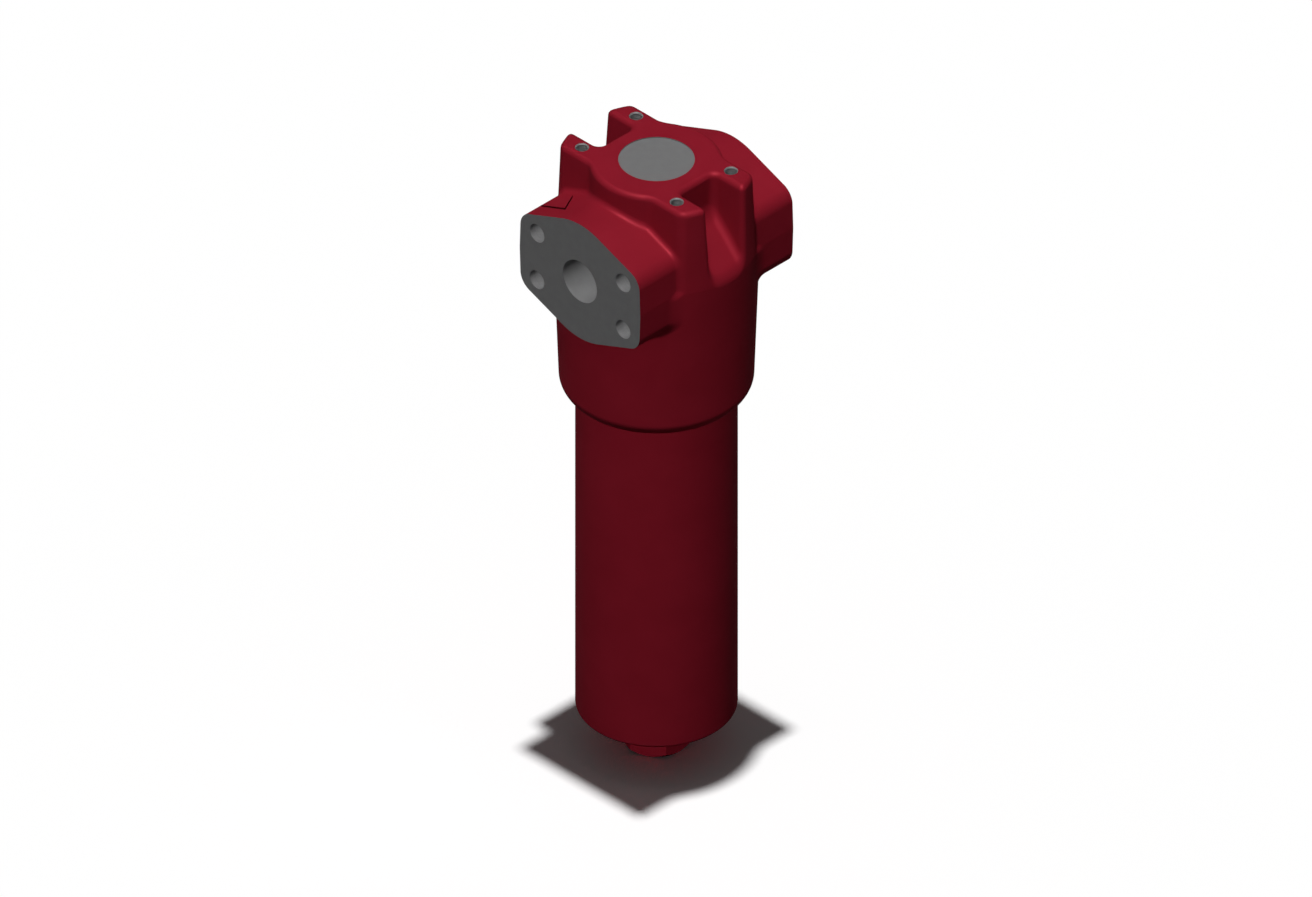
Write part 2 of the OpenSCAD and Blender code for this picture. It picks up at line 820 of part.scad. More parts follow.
// Folded strip over the crest where the ends of the pack meet
module element_seam_clip() {
    inside = media_t / 2 + 2 * layer_gap + mesh_t;
    color(steel_grey)
        translate([0, 0, pleat_foot_z + fitted_gap])
            linear_extrude(pleat_top_z - pleat_foot_z - 2 * fitted_gap)
                intersection() {
                    difference() {
                        offset(r = inside + seam_clip_t, $fn = 16)
                            pleat_star();
                        offset(r = inside, $fn = 16)
                            pleat_star();
                    }
                    translate([pleat_crest_r - clip_leg, 0])
                        polygon([
                            [0, -clip_leg / 2],
                            [2 * clip_leg, -clip_leg],
                            [2 * clip_leg, clip_leg],
                            [0, clip_leg / 2]]);
                }
}

// Ring of bonding resin that fills an end cap around the core tube
module resin_ring(foot_z) {
    color(resin_amber)
        rotate_extrude()
            translate([core_r + fitted_gap, foot_z])
                square([cap_in_r - core_r - 2 * fitted_gap, resin_t]);
}

module element_top_resin() {
    resin_ring(pleat_top_z);
}

module element_bottom_resin() {
    resin_ring(bottom_resin_z);
}

module element_o_ring() {
    color(rubber_black)
        translate([0, 0, hub_groove_z + fitted_gap])
            squeezed_ring(spigot_d / 2 + fitted_gap, hub_bore_r + hub_groove_depth - fitted_gap,
                hub_groove_w - 2 * fitted_gap);
}

module bowl_o_ring() {
    color(rubber_black)
        translate([0, 0, groove_top_z - fitted_gap - bowl_ring_h])
            squeezed_ring(groove_floor_r + running_gap / 2, pilot_r - running_gap / 2, bowl_ring_h);
}

module bowl_backup_ring() {
    color(ptfe_white)
        rotate_extrude()
            translate([groove_floor_r + running_gap / 2, groove_foot_z + fitted_gap])
                square([pilot_r - groove_floor_r - running_gap, backup_h]);
}

// Half section of the bowl's outside, from its upper end down to the hexagon
module bowl_outside_profile() {
    thread_out_r = thread_r - running_gap;
    polygon([
        [0, bowl_top_z],
        [bowl_pilot_r - bowl_lead, bowl_top_z],
        [bowl_pilot_r, bowl_top_z - bowl_lead],
        [bowl_pilot_r, groove_top_z],
        [groove_floor_r, groove_top_z],
        [groove_floor_r, groove_foot_z],
        [bowl_pilot_r, groove_foot_z],
        [bowl_pilot_r, pilot_end_z + bowl_lead],
        [bowl_pilot_r - relief_depth, pilot_end_z],
        [bowl_pilot_r - relief_depth, pilot_end_z - relief_w],
        [thread_out_r, pilot_end_z - relief_w - relief_depth],
        [thread_out_r, thread_end_z + relief_w + relief_depth],
        [thread_out_r - relief_depth, thread_end_z + relief_w],
        [thread_out_r - relief_depth, thread_end_z],
        [bowl_r, thread_end_z],
        [bowl_r, bowl_foot_z + bowl_edge_round],
        [bowl_r - bowl_edge_round, bowl_foot_z + bowl_edge_round],
        [bowl_r - bowl_edge_round, bowl_foot_z],
        [0, bowl_foot_z]]);
    translate([bowl_r - bowl_edge_round, bowl_foot_z + bowl_edge_round])
        intersection() {
            circle(r = bowl_edge_round);
            translate([0, -bowl_edge_round])
                square([bowl_edge_round, bowl_edge_round]);
        }
}

// Half section of the bowl's inside
module bowl_inside_profile() {
    translate([0, bowl_inside_z + bowl_floor_round])
        square([bowl_in_r, far]);
    translate([0, bowl_inside_z])
        square([bowl_in_r - bowl_floor_round, bowl_floor_round + over]);
    translate([bowl_in_r - bowl_floor_round, bowl_inside_z + bowl_floor_round])
        intersection() {
            circle(r = bowl_floor_round);
            translate([0, -bowl_floor_round])
                square([bowl_floor_round, bowl_floor_round]);
        }
}

// Hexagon for the spanner, its lower corners turned off
module bowl_hexagon() {
    corner_r = hex_af / 2 / cos(30);
    intersection() {
        translate([0, 0, -overall_h])
            rotate([0, 0, hex_turn])
                cylinder(r = corner_r, h = hex_h + over, $fn = 6);
        translate([0, 0, -overall_h])
            cylinder(r1 = corner_r - hex_chamfer, r2 = corner_r - hex_chamfer + hex_h + over,
                h = hex_h + over);
    }
}

module filter_bowl() {
    color(paint_red)
        difference() {
            union() {
                rotate_extrude()
                    bowl_outside_profile();
                bowl_hexagon();
            }
            rotate_extrude()
                bowl_inside_profile();
        }
}

filter_head();
element_spigot();
bypass_seat();
bypass_seat_seal();
bypass_poppet();
bypass_spring();
bypass_circlip();
element_top_cap();
element_bottom_cap();
element_core_tube();
element_inner_mesh();
element_media();
element_outer_mesh();
element_seam_clip();
element_top_resin();
element_bottom_resin();
element_o_ring();
bowl_o_ring();
bowl_backup_ring();
filter_bowl();
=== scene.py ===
"""Looks of the hydraulic pressure filter: head, bowl, valve spring, materials, light and camera."""

import json
import math

import bpy
import numpy as np
from mathutils import Matrix, Vector


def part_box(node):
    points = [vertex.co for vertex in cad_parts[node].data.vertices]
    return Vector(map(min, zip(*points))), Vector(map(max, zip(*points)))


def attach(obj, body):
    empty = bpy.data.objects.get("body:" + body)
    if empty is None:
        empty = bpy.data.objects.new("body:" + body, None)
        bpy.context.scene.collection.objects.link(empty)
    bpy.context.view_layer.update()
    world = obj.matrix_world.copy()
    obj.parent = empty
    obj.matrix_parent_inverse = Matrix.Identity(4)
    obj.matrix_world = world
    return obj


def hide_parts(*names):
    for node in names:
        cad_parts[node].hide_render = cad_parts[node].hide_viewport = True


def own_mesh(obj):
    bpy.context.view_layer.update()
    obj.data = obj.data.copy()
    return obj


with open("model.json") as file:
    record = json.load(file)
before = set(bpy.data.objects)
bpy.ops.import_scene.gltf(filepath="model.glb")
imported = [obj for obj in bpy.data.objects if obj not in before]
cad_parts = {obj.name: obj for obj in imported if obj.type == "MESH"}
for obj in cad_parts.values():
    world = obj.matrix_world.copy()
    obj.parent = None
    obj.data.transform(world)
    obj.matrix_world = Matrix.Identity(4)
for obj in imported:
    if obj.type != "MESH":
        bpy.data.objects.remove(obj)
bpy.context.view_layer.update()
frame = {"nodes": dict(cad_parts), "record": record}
NODES = frame["nodes"]
MOUNTS = {m["name"]: m for m in frame["record"]["mounts"]}

# Lengths below are in millimetres; the meshes are scaled to metres when they are made.
MM = 0.001

# The photograph's view: isometric, with the filter axis just right of the middle
PHOTO_W = 1312
PHOTO_H = 897
PHOTO_PX_PER_MM = 2.394
AXIS_PX = 656.5
TOP_PX = 159.0
VIEW_AZIMUTH = math.radians(-45)
VIEW_ELEVATION = math.asin(1 / math.sqrt(3))

# Measures of the head, as in the CAD source where it has them, but for the arrow's length and
# width, which follow the photograph
PORT_Z = MOUNTS["inlet_port"]["pos_m"][2] / MM
PORT_R = MOUNTS["inlet_port"]["dims"]["r_mm"]
FLANGE_FACE = MOUNTS["outlet_port"]["pos_m"][0] / MM
FLANGE_BOLTS = MOUNTS["inlet_flange_bolts"]["dims"]
MOUNT_BOLTS = MOUNTS["mounting_holes"]["dims"]
HEAD_FOOT_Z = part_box("filter_head")[0].z / MM
BOWL_FOOT_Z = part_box("filter_bowl")[0].z / MM
BOWL_TOP_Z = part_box("filter_bowl")[1].z / MM
BOWL_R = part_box("filter_bowl")[1].x / MM
HEAD_R = -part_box("filter_head")[0].y / MM
DRAFT = math.radians(2)
FOOT_ROUND = 7.5
BOSS_R = 28.0
RIM_ROUND = 2.5
EAR_W = 11.0
NOTCH_WALL = 23.5
NOTCH_DEPTH = 19.0
NOTCH_SLOPE = math.radians(45)
NOTCH_ROUND = 3.5
BOSS_FILLET = 1.2
FLANGE_ROUND_R = 29.0
FLANGE_CORNER_R = 8.0
FLANGE_CORNER_OUT = 1.8
CAST_FILLET = 2.5
SPOT_R = 16.0
SPOT_DEPTH = 0.5
ARROW_LEN = 11.4
ARROW_W = 15.0
ARROW_H = 0.8
ARROW_SUNK = 1.0
ARROW_INSET = 7.5
PAD_W = 57.0
PAD_H = 34.0
PAD_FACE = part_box("filter_head")[1].y / MM
PAD_ROUND = 6.0

# Inside of the head, the valve's spring, and the bowl
CEILING_Z = -72.0
PILOT_R = 31.55
PILOT_END_Z = -85.0
THREAD_R = 32.35
THREAD_END_Z = -108.0
THREAD_PITCH = 2.0
THREAD_DEPTH = 1.1
THREAD_FULLNESS = 1.2
THREAD_STEPS = 8
CREST_RISE = THREAD_DEPTH / 4
LEAD_IN = 0.8
SHOULDER_CHAMFER = 0.3
DRILL_TIP = 5.0
GALLERY_R = 8.0
GALLERY_OFFSET = 22.5
SPIGOT_BORE_R = 8.0
SHANK_R = 11.0
SHANK_LEN = 14.0
VALVE_OFFSET = 22.2
VALVE_R = 7.0
VALVE_LEN = 18.0
VALVE_PASSAGE_R = 4.5
CLIP_LEDGE = 0.5
CLIP_GROOVE = 0.5
CLIP_GROOVE_T = 1.06
SPRING_D = 9.6
SPRING_WIRE = 1.0
SPRING_TURNS = 5
SPRING_STEPS = 40
SPRING_SIDES = 16
COIL_GAP = 0.05
RUNNING_GAP = 0.08
BOWL_IN_R = 26.5
BOWL_FLOOR = 9.5
BOWL_FLOOR_ROUND = 6.0
BOWL_EDGE_ROUND = 1.5
HEX_AF = 27.0
HEX_H = 19.0
HEX_CHAMFER = 2.25
HEX_ROOT = 2.0
GROOVE_INSET = 3.5
GROOVE_W = 4.7
GROOVE_DEPTH = 2.2
RELIEF_W = 1.8
RELIEF_DEPTH = 0.8

# Tapped holes: thread pitch, depth of the hole, chamfer at its mouth
MOUNT_TAP = (1.0, 14.0, 0.5)
FLANGE_TAP = (1.5, 18.0, 0.1)

# All tapped holes: the thread groove's depth and fullness, its rows to a turn, and the drill's tip
TAP_GROOVE = 0.12
TAP_FULLNESS = 1.25
TAP_STEPS = 6
TAP_SEGMENTS = 30
TAP_TIP = 0.5

# How far cutters reach past what they cut, and their sizes where only their reach matters
CUT_PAST = 1.0
CUT_CLEAR = 5.0
FACE_CUT_R = 60.0
FACE_CUT_LEN = 20.0
PORT_CUT_LEN = 60.0

# Light in the photograph: one lamp high on the left, its highlights from a lamp of their own,
# and a little light from all round
KEY_AZIMUTH = 210
KEY_ELEVATION = 67.8
KEY_SUN = 2.92
GLOSS_SUN = 38.0
SUN_WIDTH = 3
FILL = 0.06

# The shadow straight below, and a lamp for the side that the photograph doesn't show
FLOOR_SUN = 2.95
FLOOR_SUN_WIDTH = 2
FLOOR_DULL = 0.06
FLOOR_REACH = 4000
BACK_SUN = 1.1
BACK_AZIMUTH = 45
BACK_ELEVATION = -20

# The camera's distance and reach, in metres
CAMERA_AWAY = 1.2
CAMERA_REACH = 10

# The cast head's mesh: its cells, the stock on the flange faces, the room around the casting,
# the slices in which its grid is worked out, and how its points settle
CELL = 0.9
FACE_STOCK = 2 * CELL
ROOM_X = 5.0
ROOM_Y = 2.3
ROOM_BELOW = 2.1
ROOM_ABOVE = 2.2
GRID_SLICES = 16
SETTLE_PASSES = 4
SETTLE_SHARE = 0.9
GRADIENT_STEP = 0.02
NO_SLOPE = 1e-9

# Edges sharper than this stay sharp, and faces this near to a direction count as facing it
SHARP_ANGLE = math.radians(28)
FACING = 0.9

# Material slots of the head, the last a painted shade for the arrow's sides, and of the bowl
PAINT, FACED, BORED, PAINTED_SHADE = range(4)
MACHINED = 1

# Colours that more than one material has, and the values that a noise mostly lies between
PAINT_DARK = (0.214, 0.0085, 0.0185)
PAINT_LIGHT = (0.238, 0.01, 0.0215)
STEEL_DARK = (0.46, 0.46, 0.47)
STEEL_LIGHT = (0.54, 0.54, 0.55)
NOISE_LOW = 0.3
NOISE_HIGH = 0.7

# Noise scales of the tone, the roughness and the finest grain
PAINT_SCALES = (45, 160, 1500)
METAL_SCALES = (180, 400, 2600)

# How rough the paint is, how much the roughness of metal and of dull materials varies either way,
# and the sizes of fine marks, in metres
PAINT_ROUGH = (0.52, 0.58)
METAL_VARIES = 0.06
PLAIN_VARIES = 0.05
WIRE_PITCH = 0.0006
WIRE_DEPTH = 0.00008
PEEL_DEPTH = 0.000008

# Radians that Blender's wave texture turns through in a metre at a scale of 1
WAVE_RATE = 20


def round_max(radius, *parts):
    """Intersection of distances, its outer edges rounded to the radius."""
    reach = np.sqrt(sum(np.maximum(p + radius, 0) ** 2 for p in parts))
    return np.minimum(np.maximum.reduce(parts), -radius) + reach


def round_min(radius, a, b):
    """Union of two distances, its inner edge filled to the radius."""
    reach = np.hypot(np.maximum(radius - a, 0), np.maximum(radius - b, 0))
    return np.maximum(np.minimum(a, b), radius) - reach


def flange_facts():
    """Corner centre, tangent direction and length of the straight in the flange outline."""
    out = FLANGE_BOLTS["spacing_x_mm"] / 2 + FLANGE_CORNER_OUT
    corner = np.array([out, FLANGE_BOLTS["spacing_y_mm"] / 2])
    far = np.hypot(*corner)
    tilt = math.atan2(corner[1], corner[0]) + math.acos((FLANGE_ROUND_R - FLANGE_CORNER_R) / far)
    return corner, tilt, corner[0] * math.sin(tilt) - corner[1] * math.cos(tilt)


def flange_outline(y, z):
    """Distance to the flange outline: a round belly between four rounded corners."""
    corner, tilt, flat = flange_facts()
    y, z = np.abs(y), np.abs(z - PORT_Z)
    slant = y * math.cos(tilt) + z * math.sin(tilt) - FLANGE_ROUND_R
    along = y * math.sin(tilt) - z * math.cos(tilt)
    dy, dz = y - corner[0], z - corner[1]
    side = dy * math.cos(DRAFT) + dz * math.sin(DRAFT) - FLANGE_CORNER_R
    above = dz * math.cos(DRAFT) - dy * math.sin(DRAFT) > 0
    end = np.where(above, np.hypot(dy, dz) - FLANGE_CORNER_R, side)
    return np.where(along < 0, np.hypot(y, z) - FLANGE_ROUND_R, np.where(along < flat, slant, end))


def cast_head(p):
    """Distance to the rough casting, before anything is machined."""
    x, y, z = p[..., 0], p[..., 1], p[..., 2]
    r = np.hypot(x, y)
    wall = (r - HEAD_R + np.abs(z - PORT_Z) * math.tan(DRAFT)) * math.cos(DRAFT)
    ear_out = MOUNT_BOLTS["spacing_x_mm"] / 2 + EAR_W / 2
    ear_in = ear_out - EAR_W
    lean = z * math.tan(DRAFT)
    plan = round_min(BOSS_FILLET, (np.abs(x) - ear_out + lean) * math.cos(DRAFT), r - BOSS_R)
    column = round_min(CAST_FILLET, z - PORT_Z, plan)
    body = round_max(RIM_ROUND, wall, column, z)
    body = round_max(FOOT_ROUND, body, HEAD_FOOT_Z - z)
    pad = round_max(PAD_ROUND, np.abs(x) - PAD_W / 2, PORT_Z - PAD_H - z)
    pad = np.maximum(round_max(CAST_FILLET, pad, y - PAD_FACE, z - PORT_Z), -y)
    body = np.maximum(round_min(CAST_FILLET, body, pad), y - PAD_FACE)
    flange = np.maximum(flange_outline(y, z), np.abs(x) - FLANGE_FACE - FACE_STOCK)
    solid = round_min(CAST_FILLET, body, flange)
    floor = (np.abs(y) - NOTCH_WALL) * math.sin(NOTCH_SLOPE) + (z + NOTCH_DEPTH) * math.cos(NOTCH_SLOPE)
    side = (np.abs(x) - ear_in - lean) * math.cos(DRAFT)
    notch = round_max(NOTCH_ROUND, side, NOTCH_WALL - np.abs(y), -floor)
    return round_max(RIM_ROUND, solid, -notch)


def gradient(field, p):
    """Unit normals of a distance field at the points."""
    g = np.empty_like(p)
    for axis in range(3):
        step = np.zeros(3)
        step[axis] = GRADIENT_STEP
        g[:, axis] = field(p + step) - field(p - step)
    return g / np.maximum(np.linalg.norm(g, axis=1, keepdims=True), NO_SLOPE)


def net_surface(field, low, high, cell):
    """Points and quads of the field's zero surface, one point in each cell that it crosses."""
    axes = [np.arange(a, b + cell, cell) for a, b in zip(low, high)]
    grid = np.stack(np.meshgrid(*axes, indexing="ij"), axis=-1)
    value = np.concatenate([field(layer) for layer in np.array_split(grid, GRID_SLICES)], axis=0)
    inside = value < 0
    shape = np.array(inside.shape) - 1
    total = np.zeros((*shape, 3))
    count = np.zeros(shape)
    corners = [(i, j, k) for i in (0, 1) for j in (0, 1) for k in (0, 1)]

    def part(array, corner):
        """The array's values at one corner of every cell."""
        return array[tuple(slice(c, c + n) for c, n in zip(corner, shape))]

    for a in corners:
        for axis in range(3):
            if a[axis]:
                continue
            b = tuple(1 if i == axis else c for i, c in enumerate(a))
            va, vb = part(value, a), part(value, b)
            cross = part(inside, a) != part(inside, b)
            t = np.where(cross, va / np.where(cross, va - vb, 1), 0)
            spot = np.stack([np.full(shape, float(c)) for c in a], axis=-1)
            spot[..., axis] += t
            total += spot * cross[..., None]
            count += cross
    active = count > 0
    index = np.full(shape, -1)
    index[active] = np.arange(active.sum())
    points = np.argwhere(active) + total[active] / count[active][:, None]
    points = points * cell + np.array([a[0] for a in axes])
    for _ in range(SETTLE_PASSES):
        off = np.clip(field(points), -cell, cell)[:, None]
        points -= gradient(field, points) * off * SETTLE_SHARE
    quads = []
    for axis in range(3):
        u, v = (axis + 1) % 3, (axis + 2) % 3
        first = [slice(1, -1)] * 3
        first[axis] = slice(0, -1)
        second = list(first)
        second[axis] = slice(1, None)
        here = inside[tuple(first)]
        cross = here != inside[tuple(second)]
        spots = np.argwhere(cross)
        spots[:, u] += 1
        spots[:, v] += 1
        ring = []
        for du, dv in ((0, 0), (-1, 0), (-1, -1), (0, -1)):
            cell_at = spots.copy()
            cell_at[:, u] += du
            cell_at[:, v] += dv
            ring.append(index[tuple(cell_at.T)])
        ring = np.stack(ring, axis=1)
        flip = here[cross]
        ring[~flip] = ring[~flip][:, ::-1]
        quads.append(ring)
    return points, np.concatenate(quads)


def linked(name, data):
    """A new object in the scene that holds the data."""
    made = bpy.data.objects.new(name, data)
    bpy.context.scene.collection.objects.link(made)
    return made


def new_object(name, points, faces):
    """A mesh object from points in millimetres."""
    mesh = bpy.data.meshes.new(name)
    mesh.from_pydata((np.asarray(points) * MM).tolist(), [], [list(face) for face in faces])
    mesh.update()
    return linked(name, mesh)


def turned(name, profile, segments=96, radius_at=None):
    """A closed solid turned about Z, from (radius, z) points that start and end on the axis."""
    angles = np.arange(segments) * 2 * math.pi / segments
    points = [(0, 0, profile[0][1])]
    rows = profile[1:-1]
    for r, z in rows:
        radii = radius_at(r, z, angles) if radius_at else np.full(segments, float(r))
        points += [(out * math.cos(a), out * math.sin(a), z) for out, a in zip(radii, angles)]
    points.append((0, 0, profile[-1][1]))
    pairs = [(j, (j + 1) % segments) for j in range(segments)]
    faces = [(0, 1 + k, 1 + j) for j, k in pairs]
    for i in range(len(rows) - 1):
        a, b = 1 + i * segments, 1 + (i + 1) * segments
        faces += [(a + j, a + k, b + k, b + j) for j, k in pairs]
    last, end = 1 + (len(rows) - 1) * segments, len(points) - 1
    faces += [(last + j, last + k, end) for j, k in pairs]
    return new_object(name, points, faces)


def rod(name, r, low, high, segments=64):
    """A plain cutter along Z."""
    return turned(name, [(0, low), (r, low), (r, high), (0, high)], segments)


def thread_form(phase, fullness):
    """0 to 1 across one pitch of a thread, flat where the fullness takes it past 1."""
    return np.clip(fullness * (1 - 2 * np.abs(phase - 0.5)), 0, 1)


def tap_cutter(name, core_r, pitch, depth, chamfer):
    """Cutter for a tapped hole down from z = 0: a thread groove around the core and a chamfer."""
    start, stop = pitch - depth, -chamfer
    count = int((stop - start) / pitch * TAP_STEPS)
    rows = [(0, -depth - core_r * TAP_TIP), (core_r, -depth)]
    rows += [(core_r, start + (i + 0.5) * pitch / TAP_STEPS) for i in range(count)]
    rows += [(core_r, stop), (core_r + 2 * chamfer, chamfer), (0, chamfer)]

    def radius_at(r, z, angles):
        """The core's radius, with the thread groove where there is thread."""
        if not start < z < stop:
            return np.full(len(angles), float(r))
        phase = ((z - start) / pitch - angles / (2 * math.pi)) % 1
        fade = min(1.0, (z - start) / pitch, (stop - z) / pitch)
        return r + TAP_GROOVE * fade * thread_form(phase, TAP_FULLNESS)

    return turned(name, rows, TAP_SEGMENTS, radius_at)


def placed(piece, turn_axis=None, angle=0.0, at=(0, 0, 0)):
    """Turns and moves a cutter's mesh, the place in millimetres."""
    spin = Matrix.Rotation(angle, 4, turn_axis) if turn_axis else Matrix.Identity(4)
    piece.data.transform(Matrix.Translation(Vector(at) * MM) @ spin)
    return piece


def tag(piece, materials, index=0):
    """Gives a piece the list of materials and all its faces one of them."""
    for material in materials:
        piece.data.materials.append(material)
    polygons = piece.data.polygons
    polygons.foreach_set("material_index", np.full(len(polygons), index, np.int32))
    return piece


def cut(piece, cutters, operation="DIFFERENCE"):
    """Applies each cutter to the piece in turn and removes the cutters."""
    for cutter in cutters:
        modifier = piece.modifiers.new("cut", "BOOLEAN")
        modifier.operation = operation
        modifier.solver = "MANIFOLD"
        modifier.object = cutter
        depsgraph = bpy.context.evaluated_depsgraph_get()
        result = bpy.data.meshes.new_from_object(piece.evaluated_get(depsgraph))
        piece.modifiers.clear()
        old = piece.data
        piece.data = result
        bpy.data.meshes.remove(old)
        spent = cutter.data
        bpy.data.objects.remove(cutter)
        bpy.data.meshes.remove(spent)
    return piece


def head_cutters():
    """All that is machined out of the casting: the flat faces, and the holes."""
    faces, cutters = [], []
    for side in (-1, 1):
        face = rod("face_cutter", FACE_CUT_R, 0, FACE_CUT_LEN, segments=8)
        faces.append(placed(face, "Y", side * math.pi / 2, (side * FLANGE_FACE, 0, PORT_Z)))
    cutters.append(turned("cavity_cutter", [
        (0, HEAD_FOOT_Z - CUT_CLEAR), (BOWL_R + RUNNING_GAP, HEAD_FOOT_Z - CUT_CLEAR),
        (BOWL_R + RUNNING_GAP, THREAD_END_Z), (THREAD_R, THREAD_END_Z),
        (THREAD_R, PILOT_END_Z - LEAD_IN), (PILOT_R, PILOT_END_Z), (PILOT_R, CEILING_Z),
        (0, CEILING_Z)], segments=160))
    for side, start in ((-1, -GALLERY_OFFSET), (1, 0)):
        port = turned("port_cutter", [
            (0, -DRILL_TIP), (PORT_R, 0), (PORT_R, PORT_CUT_LEN), (0, PORT_CUT_LEN)], segments=72)
        cutters.append(placed(port, "Y", side * math.pi / 2, (start, 0, PORT_Z)))
    mouth = CEILING_Z - CUT_PAST
    gallery = rod("gallery_cutter", GALLERY_R, mouth, PORT_Z)
    cutters.append(placed(gallery, at=(-GALLERY_OFFSET, 0, 0)))
    cutters.append(rod("centre_cutter", SPIGOT_BORE_R, mouth, PORT_Z))
    cutters.append(rod("shank_cutter", SHANK_R, mouth, CEILING_Z + SHANK_LEN))
    clip_z = CEILING_Z + CLIP_LEDGE
    valve = turned("valve_cutter", [
        (0, mouth), (VALVE_R, mouth), (VALVE_R, clip_z), (VALVE_R + CLIP_GROOVE, clip_z),
        (VALVE_R + CLIP_GROOVE, clip_z + CLIP_GROOVE_T), (VALVE_R, clip_z + CLIP_GROOVE_T),
        (VALVE_R, CEILING_Z + VALVE_LEN), (VALVE_PASSAGE_R, CEILING_Z + VALVE_LEN),
        (VALVE_PASSAGE_R, PORT_Z), (0, PORT_Z)])
    cutters.append(placed(valve, at=(VALVE_OFFSET, 0, 0)))
    faces.append(rod("spot_cutter", SPOT_R, -SPOT_DEPTH, CUT_CLEAR, segments=128))
    for x in (-1, 1):
        for y in (-1, 1):
            hole = tap_cutter("mount_cutter", MOUNT_BOLTS["hole_r_mm"], *MOUNT_TAP)
            at = (x * MOUNT_BOLTS["spacing_x_mm"] / 2, y * MOUNT_BOLTS["spacing_y_mm"] / 2, 0)
            cutters.append(placed(hole, at=at))
    for side in (-1, 1):
        for y in (-1, 1):
            for z in (-1, 1):
                hole = tap_cutter("flange_cutter", FLANGE_BOLTS["hole_r_mm"], *FLANGE_TAP)
                at = (side * FLANGE_FACE, y * FLANGE_BOLTS["spacing_x_mm"] / 2,
                      PORT_Z + z * FLANGE_BOLTS["spacing_y_mm"] / 2)
                cutters.append(placed(hole, "Y", side * math.pi / 2, at))
    return faces, cutters


def flow_arrow():
    """The raised arrow on the sloping top of the inlet flange, pointing along the flow."""
    _, tilt, flat = flange_facts()
    points = []
    for height in (FLANGE_ROUND_R - ARROW_SUNK, FLANGE_ROUND_R + ARROW_H):
        for ahead, across in ((0, -ARROW_W / 2), (ARROW_LEN, 0), (0, ARROW_W / 2)):
            along = flat - ARROW_W / 2 + across
            points.append((
                ARROW_INSET - FLANGE_FACE + ahead,
                height * math.cos(tilt) + along * math.sin(tilt),
                height * math.sin(tilt) - along * math.cos(tilt) + PORT_Z))
    faces = [(0, 2, 1), (3, 4, 5), (0, 1, 4, 3), (1, 2, 5, 4), (2, 0, 3, 5)]
    return new_object("flow_arrow", points, faces)


def polish(piece, field=None):
    """Shades a piece smoothly; a field gives its own normals to the faces in its first slot."""
    mesh = piece.data
    count = len(mesh.polygons)
    index = np.zeros(count, np.int32)
    mesh.polygons.foreach_get("material_index", index)
    cast = index == PAINT
    mesh.polygons.foreach_set("use_smooth", np.ones(count, bool))
    mesh.set_sharp_from_angle(angle=SHARP_ANGLE)
    loops = len(mesh.loops)
    shade = np.zeros(loops * 3, np.float32)
    mesh.corner_normals.foreach_get("vector", shade)
    shade = shade.reshape(-1, 3)
    if field is not None:
        owner = np.zeros(loops, np.int32)
        mesh.loops.foreach_get("vertex_index", owner)
        sizes = np.zeros(count, np.int32)
        mesh.polygons.foreach_get("loop_total", sizes)
        on_cast = np.repeat(cast, sizes)
        points = np.zeros(len(mesh.vertices) * 3, np.float32)
        mesh.vertices.foreach_get("co", points)
        smooth = gradient(field, points.reshape(-1, 3).astype(float) / MM)
        shade[on_cast] = smooth[owner[on_cast]]
    mesh.normals_split_custom_set(shade.tolist())
    mesh.update()


def make_head(paint, faced, bored, shade_paint):
    """The casting with its arrow, whose sides are painted a darker shade, and its machined faces and
    holes.
    """
    materials = [paint, faced, bored, shade_paint]
    low = (-FLANGE_FACE - ROOM_X, -HEAD_R - ROOM_Y, HEAD_FOOT_Z - ROOM_BELOW)
    high = (FLANGE_FACE + ROOM_X, HEAD_R + ROOM_Y, ROOM_ABOVE)
    points, quads = net_surface(cast_head, low, high, CELL)
    head = tag(new_object("head_casting", points, quads), materials)
    # The arrow's sides take the painted shade; its top, which faces along the slope, goes back to the
    # paint
    cut(head, [tag(flow_arrow(), materials, PAINTED_SHADE)], "UNION")
    tilt = flange_facts()[1]
    slope = (0, math.cos(tilt), math.sin(tilt))
    for face in head.data.polygons:
        if face.material_index == PAINTED_SHADE and face.normal.dot(slope) > FACING:
            face.material_index = PAINT
    faces, holes = head_cutters()
    cut(head, [tag(piece, materials, FACED) for piece in faces])
    cut(head, [tag(piece, materials, BORED) for piece in holes])
    polish(head, cast_head)
    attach(head, "head")
    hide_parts("filter_head")
    return head


def arc(cx, cz, radius, start, stop, steps):
    """Points of a profile's arc, in (radius, z)."""
    turn = [math.radians(start + (stop - start) * i / steps) for i in range(steps + 1)]
    return [(cx + radius * math.cos(a), cz + radius * math.sin(a)) for a in turn]


